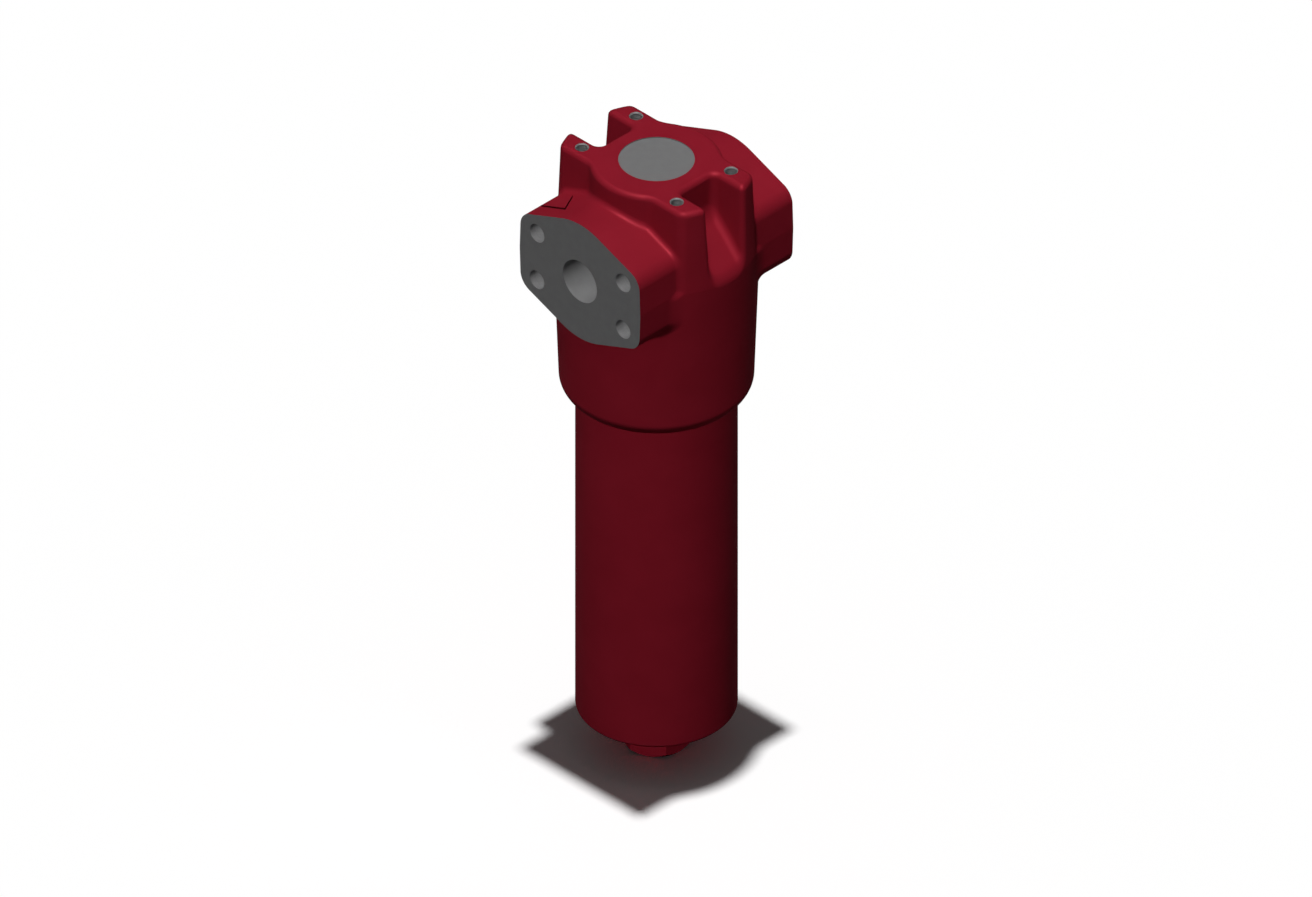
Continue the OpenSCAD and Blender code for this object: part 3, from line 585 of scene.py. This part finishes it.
def make_bowl(paint, machined):
    """The turned bowl with its thread, seal groove and hexagon, painted on the outside."""
    foot = BOWL_FOOT_Z + HEX_H
    inside = foot + BOWL_FLOOR
    pilot = PILOT_R - RUNNING_GAP
    crest = THREAD_R - RUNNING_GAP + CREST_RISE
    groove_top = BOWL_TOP_Z - GROOVE_INSET
    groove_foot = groove_top - GROOVE_W
    floor_r = pilot - GROOVE_DEPTH
    thread_top = PILOT_END_Z - RELIEF_W - RELIEF_DEPTH
    thread_foot = THREAD_END_Z + RELIEF_W + RELIEF_DEPTH
    rows = int((thread_top - thread_foot) / THREAD_PITCH * THREAD_STEPS)
    thread = [(crest, thread_foot + (thread_top - thread_foot) * i / rows) for i in range(1, rows)]

    def radius_at(r, z, angles):
        """The profile's radius, with the thread cut into the rows of its crest."""
        if r != crest:
            return np.full(len(angles), float(r))
        phase = (z / THREAD_PITCH + angles / (2 * math.pi)) % 1
        fade = min(1.0, (z - thread_foot) / THREAD_PITCH, (thread_top - z) / THREAD_PITCH)
        return r - THREAD_DEPTH * fade * thread_form(phase, THREAD_FULLNESS)

    profile = [(0, foot), (BOWL_R - BOWL_EDGE_ROUND, foot)]
    edge = arc(BOWL_R - BOWL_EDGE_ROUND, foot + BOWL_EDGE_ROUND, BOWL_EDGE_ROUND, -90, 0, steps=6)
    profile += edge[1:]
    profile += [
        (BOWL_R, THREAD_END_Z - SHOULDER_CHAMFER), (BOWL_R - SHOULDER_CHAMFER, THREAD_END_Z),
        (crest - RELIEF_DEPTH, THREAD_END_Z), (crest - RELIEF_DEPTH, THREAD_END_Z + RELIEF_W)]
    profile += thread
    profile += [
        (pilot - RELIEF_DEPTH, PILOT_END_Z - RELIEF_W), (pilot - RELIEF_DEPTH, PILOT_END_Z),
        (pilot, PILOT_END_Z + RELIEF_DEPTH), (pilot, groove_foot), (floor_r, groove_foot),
        (floor_r, groove_top), (pilot, groove_top), (pilot, BOWL_TOP_Z - LEAD_IN),
        (pilot - LEAD_IN, BOWL_TOP_Z), (BOWL_IN_R, BOWL_TOP_Z)]
    floor_z = inside + BOWL_FLOOR_ROUND
    profile += arc(BOWL_IN_R - BOWL_FLOOR_ROUND, floor_z, BOWL_FLOOR_ROUND, 0, -90, steps=10)
    profile += [(0, inside)]
    bowl = tag(turned("bowl_turned", profile, segments=192, radius_at=radius_at), [paint, machined])
    centre = np.zeros(len(bowl.data.polygons) * 3, np.float32)
    bowl.data.polygons.foreach_get("center", centre)
    centre = centre.reshape(-1, 3) / MM
    outside = np.hypot(centre[:, 0], centre[:, 1]) > (crest + BOWL_R) / 2
    below = centre[:, 2] < THREAD_END_Z - SHOULDER_CHAMFER / 3
    painted = (outside & below) | (centre[:, 2] < foot + BOWL_EDGE_ROUND)
    index = np.where(painted, PAINT, MACHINED)
    bowl.data.polygons.foreach_set("material_index", index.astype(np.int32))
    cut(bowl, [tag(hexagon(foot), [paint, machined])], "UNION")
    polish(bowl)
    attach(bowl, "bowl")
    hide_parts("filter_bowl")
    return bowl


def hexagon(foot):
    """The spanner hexagon, its lower corners turned off."""
    corner = HEX_AF / 2 / math.cos(math.pi / 6)
    root = foot + HEX_ROOT
    wide = corner + HEX_ROOT
    prism = turned("hexagon", [
        (0, BOWL_FOOT_Z), (corner, BOWL_FOOT_Z), (corner, root), (0, root)], segments=6)
    cone = turned("hexagon_cone", [
        (0, BOWL_FOOT_Z), (corner - HEX_CHAMFER, BOWL_FOOT_Z),
        (wide, BOWL_FOOT_Z + HEX_CHAMFER + HEX_ROOT), (wide, root), (0, root)])
    return cut(prism, [cone], "INTERSECT")


def make_spring(steel):
    """The valve's spring, closed at both ends, built at the length of the spring part it replaces."""
    foot, top = (corner.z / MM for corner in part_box("bypass_spring"))
    height = top - foot - SPRING_WIRE
    closed = SPRING_WIRE + COIL_GAP
    turn = np.arange(SPRING_TURNS * SPRING_STEPS + 1)[:, None] / SPRING_STEPS
    round_wire = np.arange(SPRING_SIDES) * 2 * math.pi / SPRING_SIDES
    turns = (0, 1, SPRING_TURNS - 1, SPRING_TURNS)
    rise = np.interp(turn, turns, (0, closed, height - closed, height))
    r = SPRING_D / 2 + SPRING_WIRE / 2 * np.cos(round_wire)
    z = foot + SPRING_WIRE / 2 * (1 + np.sin(round_wire)) + rise
    x, y = VALVE_OFFSET + r * np.cos(2 * math.pi * turn), r * np.sin(2 * math.pi * turn)
    points = np.stack([x, y, z], axis=-1).reshape(-1, 3)
    last = len(points) - SPRING_SIDES
    faces = [tuple(range(SPRING_SIDES)), tuple(reversed(range(last, len(points))))]
    for a in range(0, last, SPRING_SIDES):
        b = a + SPRING_SIDES
        for k in range(SPRING_SIDES):
            after = (k + 1) % SPRING_SIDES
            faces.append((a + k, b + k, b + after, a + after))
    spring = tag(new_object("valve_spring", points, faces), [steel])
    polish(spring)
    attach(spring, "head")
    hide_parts("bypass_spring")
    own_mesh(spring)
    return spring


def new_material(name, roughness, metallic=0.0, **sockets):
    """A principled material and its parts, to be dressed with textures."""
    material = bpy.data.materials.new(name)
    material.use_nodes = True
    tree = material.node_tree
    shader = tree.nodes["Principled BSDF"]
    shader.inputs["Roughness"].default_value = roughness
    shader.inputs["Metallic"].default_value = metallic
    for key, value in sockets.items():
        shader.inputs[key.replace("_", " ")].default_value = value
    place = tree.nodes.new("ShaderNodeTexCoord").outputs["Object"]
    return material, tree, shader, place


def noise(tree, place, scale, detail, roughness=0.5):
    """A cloudy noise over the piece, finer with a larger scale."""
    made = tree.nodes.new("ShaderNodeTexNoise")
    made.inputs["Scale"].default_value = scale
    made.inputs["Detail"].default_value = detail
    made.inputs["Roughness"].default_value = roughness
    tree.links.new(place, made.inputs["Vector"])
    return made.outputs["Fac"]


def spread(tree, value, low, high):
    """Maps most of a noise onto low to high."""
    made = tree.nodes.new("ShaderNodeMapRange")
    made.inputs["From Min"].default_value = NOISE_LOW
    made.inputs["From Max"].default_value = NOISE_HIGH
    made.inputs["To Min"].default_value = low
    made.inputs["To Max"].default_value = high
    tree.links.new(value, made.inputs["Value"])
    return made.outputs["Result"]


def blend_colour(tree, value, first, second):
    """Runs from the first colour to the second over most of a noise."""
    ramp = tree.nodes.new("ShaderNodeValToRGB")
    ramp.color_ramp.elements[0].position = NOISE_LOW
    ramp.color_ramp.elements[0].color = (*first, 1)
    ramp.color_ramp.elements[1].position = NOISE_HIGH
    ramp.color_ramp.elements[1].color = (*second, 1)
    tree.links.new(value, ramp.inputs["Fac"])
    return ramp.outputs["Color"]


def larger(tree, first, second):
    """The larger of two values."""
    made = tree.nodes.new("ShaderNodeMath")
    made.operation = "MAXIMUM"
    tree.links.new(first, made.inputs[0])
    tree.links.new(second, made.inputs[1])
    return made.outputs[0]


def bump(tree, height, shader, distance, before=None):
    """Bumps the shader's surface by a distance in metres, over the bump before it if there is one."""
    made = tree.nodes.new("ShaderNodeBump")
    made.inputs["Distance"].default_value = distance
    made.inputs["Strength"].default_value = 1.0
    tree.links.new(height, made.inputs["Height"])
    if before is not None:
        tree.links.new(before, made.inputs["Normal"])
    tree.links.new(made.outputs["Normal"], shader.inputs["Normal"])
    return made.outputs["Normal"]


def red_paint(name, grain, grain_depth):
    """Dull red paint over a sand casting or turned steel, its grain's depth in metres."""
    material, tree, shader, place = new_material(
        name, roughness=0.55, metallic=0.03,
        Specular_IOR_Level=0.0, Coat_Weight=0.012, Coat_Roughness=0.5)
    tone, sheen, peel = PAINT_SCALES
    tint = blend_colour(tree, noise(tree, place, tone, detail=3), PAINT_DARK, PAINT_LIGHT)
    tree.links.new(tint, shader.inputs["Base Color"])
    rough = spread(tree, noise(tree, place, sheen, detail=3), *PAINT_ROUGH)
    tree.links.new(rough, shader.inputs["Roughness"])
    sand = noise(tree, place, grain, detail=3, roughness=0.55)
    coarse = bump(tree, sand, shader, grain_depth)
    bump(tree, noise(tree, place, peel, detail=2), shader, PEEL_DEPTH, before=coarse)
    return material


def wave(tree, place, kind, direction, pitch):
    """Bands or rings with a pitch in metres."""
    made = tree.nodes.new("ShaderNodeTexWave")
    made.wave_type = kind
    if kind == "RINGS":
        made.rings_direction = direction
    else:
        made.bands_direction = direction
    made.inputs["Scale"].default_value = 2 * math.pi / (WAVE_RATE * pitch)
    made.inputs["Distortion"].default_value = 0.0
    tree.links.new(place, made.inputs["Vector"])
    return made.outputs["Fac"]


def metal(name, dark, light, roughness, marks=None, mark_depth=0.000004, offset=0.0):
    """Metal with a cloudy tone and, if marks give a pitch, turning marks around an axis along Z."""
    material, tree, shader, place = new_material(name, roughness, metallic=1.0)
    if offset:
        moved = tree.nodes.new("ShaderNodeMapping")
        moved.inputs["Location"].default_value = (-offset * MM, 0, 0)
        tree.links.new(place, moved.inputs["Vector"])
        place = moved.outputs["Vector"]
    tone, sheen, grain = METAL_SCALES
    tint = blend_colour(tree, noise(tree, place, tone, detail=4, roughness=0.6), dark, light)
    tree.links.new(tint, shader.inputs["Base Color"])
    cloud = noise(tree, place, sheen, detail=3)
    rough = spread(tree, cloud, roughness - METAL_VARIES, roughness + METAL_VARIES)
    tree.links.new(rough, shader.inputs["Roughness"])
    fine = bump(tree, noise(tree, place, grain, detail=2), shader, mark_depth)
    if marks:
        rings = bump(tree, wave(tree, place, "RINGS", "Z", marks), shader, mark_depth, before=fine)
        bump(tree, wave(tree, place, "BANDS", "Z", marks), shader, mark_depth, before=rings)
    return material


def plain(name, dark, light, roughness, scale, depth, **sockets):
    """A dull material with a mottled colour; its roughness and its grain are mottled more finely."""
    material, tree, shader, place = new_material(name, roughness, **sockets)
    tint = blend_colour(tree, noise(tree, place, scale, detail=4, roughness=0.6), dark, light)
    tree.links.new(tint, shader.inputs["Base Color"])
    cloud = noise(tree, place, scale * 2, detail=3)
    rough = spread(tree, cloud, roughness - PLAIN_VARIES, roughness + PLAIN_VARIES)
    tree.links.new(rough, shader.inputs["Roughness"])
    bump(tree, noise(tree, place, scale * 4, detail=3), shader, depth)
    return material


def woven_wire(name):
    """Fine wire cloth: level wires crossed by upright ones."""
    material, tree, shader, place = new_material(name, roughness=0.35, metallic=1.0)
    level = wave(tree, place, "BANDS", "Z", WIRE_PITCH)
    upright = wave(tree, place, "RINGS", "Z", WIRE_PITCH)
    crossed = larger(tree, level, upright)
    tint = blend_colour(tree, crossed, (0.09, 0.09, 0.085), (0.55, 0.55, 0.54))
    tree.links.new(tint, shader.inputs["Base Color"])
    bump(tree, crossed, shader, WIRE_DEPTH)
    return material


def make_camera():
    """The photograph's isometric camera, with the axis and the top where the photograph has them."""
    data = bpy.data.cameras.new("camera")
    data.type = "ORTHO"
    data.ortho_scale = PHOTO_W / PHOTO_PX_PER_MM * MM
    camera = linked("camera", data)
    back = Vector((
        math.sin(VIEW_AZIMUTH) * math.cos(VIEW_ELEVATION),
        -math.cos(VIEW_AZIMUTH) * math.cos(VIEW_ELEVATION),
        math.sin(VIEW_ELEVATION)))
    camera.rotation_mode = "QUATERNION"
    camera.rotation_quaternion = (-back).to_track_quat("-Z", "Y")
    right = camera.rotation_quaternion @ Vector((1, 0, 0))
    up = camera.rotation_quaternion @ Vector((0, 1, 0))
    across = (PHOTO_W / 2 - AXIS_PX) / PHOTO_PX_PER_MM * MM
    down = (PHOTO_H / 2 - TOP_PX) / PHOTO_PX_PER_MM * MM
    camera.location = right * across - up * down + back * CAMERA_AWAY
    data.clip_end = CAMERA_REACH
    bpy.context.scene.camera = camera


def make_sun(name, energy, width, azimuth, elevation):
    """A sun lamp that shines from the azimuth and elevation, in degrees."""
    lamp = bpy.data.lights.new(name, "SUN")
    lamp.energy = energy
    lamp.angle = math.radians(width)
    sun = linked(name, lamp)
    turn, rise = math.radians(azimuth), math.radians(elevation)
    flat = math.cos(rise)
    towards = Vector((math.cos(turn) * flat, math.sin(turn) * flat, math.sin(rise)))
    sun.rotation_mode = "QUATERNION"
    sun.rotation_quaternion = (-towards).to_track_quat("-Z", "Y")
    return sun


def shine_on(sun, pieces):
    """Lets a lamp light these pieces alone."""
    lit = bpy.data.collections.new(sun.name + "_receivers")
    for piece in pieces:
        lit.objects.link(piece)
    sun.light_linking.receiver_collection = lit


def make_light(floor, pieces):
    """A soft shadow straight below, light and highlights from high on the left, light from behind."""
    above = make_sun("floor_light", FLOOR_SUN, FLOOR_SUN_WIDTH, azimuth=0, elevation=90)
    shine_on(above, [floor])
    key = make_sun("key_light", KEY_SUN, SUN_WIDTH, KEY_AZIMUTH, KEY_ELEVATION)
    key.data.use_shadow = False
    key.visible_glossy = False
    gloss = make_sun("gloss_light", GLOSS_SUN, SUN_WIDTH, KEY_AZIMUTH, KEY_ELEVATION)
    gloss.visible_diffuse = False
    back = make_sun("back_light", BACK_SUN, SUN_WIDTH, BACK_AZIMUTH, BACK_ELEVATION)
    back.data.use_shadow = False
    back.visible_glossy = False
    for sun in (key, gloss, back):
        shine_on(sun, pieces)


def camera_and_mirror_rays(tree):
    """1 for rays that come from the camera or from gloss and glass."""
    rays = tree.nodes.new("ShaderNodeLightPath").outputs
    direct = larger(tree, rays["Is Camera Ray"], rays["Is Glossy Ray"])
    return larger(tree, direct, rays["Is Transmission Ray"])


def make_world():
    """White to the camera and in gloss, and a little light from all round."""
    world = bpy.data.worlds.new("world")
    bpy.context.scene.world = world
    world.use_nodes = True
    tree = world.node_tree
    tree.nodes.clear()
    output = tree.nodes.new("ShaderNodeOutputWorld")
    mix = tree.nodes.new("ShaderNodeMixShader")
    fill = tree.nodes.new("ShaderNodeBackground")
    fill.inputs["Color"].default_value = (1, 1, 1, 1)
    fill.inputs["Strength"].default_value = FILL
    white = tree.nodes.new("ShaderNodeBackground")
    white.inputs["Color"].default_value = (1, 1, 1, 1)
    white.inputs["Strength"].default_value = 1.0
    tree.links.new(camera_and_mirror_rays(tree), mix.inputs[0])
    tree.links.new(fill.outputs[0], mix.inputs[1])
    tree.links.new(white.outputs[0], mix.inputs[2])
    tree.links.new(mix.outputs[0], output.inputs["Surface"])


def make_floor():
    """A floor that looks white with a soft shadow, and throws little light back at the filter."""
    square = ((-1, -1), (1, -1), (1, 1), (-1, 1))
    corners = [(x * FLOOR_REACH, y * FLOOR_REACH, BOWL_FOOT_Z) for x, y in square]
    floor = new_object("floor", corners, [(0, 1, 2, 3)])
    material = bpy.data.materials.new("pale_floor")
    material.use_nodes = True
    tree = material.node_tree
    tree.nodes.clear()
    output = tree.nodes.new("ShaderNodeOutputMaterial")
    seen = tree.nodes.new("ShaderNodeBsdfDiffuse")
    seen.inputs["Color"].default_value = (1, 1, 1, 1)
    dull = tree.nodes.new("ShaderNodeBsdfDiffuse")
    dull.inputs["Color"].default_value = (FLOOR_DULL, FLOOR_DULL, FLOOR_DULL, 1)
    mix = tree.nodes.new("ShaderNodeMixShader")
    tree.links.new(camera_and_mirror_rays(tree), mix.inputs[0])
    tree.links.new(dull.outputs[0], mix.inputs[1])
    tree.links.new(seen.outputs[0], mix.inputs[2])
    tree.links.new(mix.outputs[0], output.inputs["Surface"])
    floor.data.materials.append(material)
    return floor


make_camera()
make_world()
faced_iron = plain(
    "faced_iron", (0.158, 0.158, 0.159), (0.17, 0.17, 0.171), roughness=0.6,
    scale=250, depth=0.000004, Specular_IOR_Level=0.03)
bored_iron = plain(
    "bored_iron", (0.155, 0.155, 0.156), (0.175, 0.175, 0.176), roughness=0.55,
    scale=180, depth=0.000006, Specular_IOR_Level=0.05)
# Painted shade: a near-black red on the arrow's sides, darker than the lamps would make them
painted_shade_paint = plain(
    "painted_shade_paint", (0.03, 0.0016, 0.0032), (0.04, 0.002, 0.004), roughness=0.6,
    scale=700, depth=0.000005, Specular_IOR_Level=0.0)
turned_bowl = metal(
    "turned_bowl", (0.42, 0.42, 0.43), (0.5, 0.5, 0.51), roughness=0.35, marks=0.0004)
slots = {
    "head_paint": red_paint("cast_paint", grain=700, grain_depth=0.00005),
    "bowl_paint": red_paint("smooth_paint", grain=420, grain_depth=0.00002),
    "turned_steel": metal(
        "turned_steel", STEEL_DARK, STEEL_LIGHT, roughness=0.3, marks=0.0003),
    "spring_steel": metal(
        "spring_steel", (0.26, 0.26, 0.28), (0.36, 0.36, 0.38), roughness=0.32),
    "plated_cap": metal(
        "plated_cap", (0.5, 0.5, 0.5), (0.66, 0.66, 0.65), roughness=0.38),
    "wire_mesh": woven_wire("wire_mesh"),
    "filter_medium": plain(
        "filter_medium", (0.78, 0.76, 0.68), (0.88, 0.86, 0.8), roughness=0.9,
        scale=600, depth=0.00005),
    "bonding_resin": plain(
        "bonding_resin", (0.42, 0.27, 0.1), (0.52, 0.36, 0.15), roughness=0.3,
        scale=150, depth=0.00001),
    "seal_rubber": plain(
        "seal_rubber", (0.016, 0.016, 0.016), (0.026, 0.026, 0.026), roughness=0.55,
        scale=500, depth=0.00001),
    "backup_plastic": plain(
        "backup_plastic", (0.76, 0.76, 0.72), (0.83, 0.83, 0.8), roughness=0.4,
        scale=300, depth=0.00001),
}
valve_steel = metal(
    "valve_steel", STEEL_DARK, STEEL_LIGHT, roughness=0.3, marks=0.0002,
    mark_depth=0.000003, offset=VALVE_OFFSET)
for part in frame["record"]["subparts"]:
    dress = slots[part["material_slot"]]
    if part["node"] in ("bypass_seat", "bypass_poppet"):
        dress = valve_steel
    cad = NODES[part["node"]]
    cad.data.materials.clear()
    cad.data.materials.append(dress)
head = make_head(slots["head_paint"], faced_iron, bored_iron, painted_shade_paint)
bowl = make_bowl(slots["bowl_paint"], turned_bowl)
spring = make_spring(slots["spring_steel"])
make_light(make_floor(), [head, bowl, spring, *NODES.values()])

scene = bpy.context.scene
scene.view_settings.view_transform = "Standard"
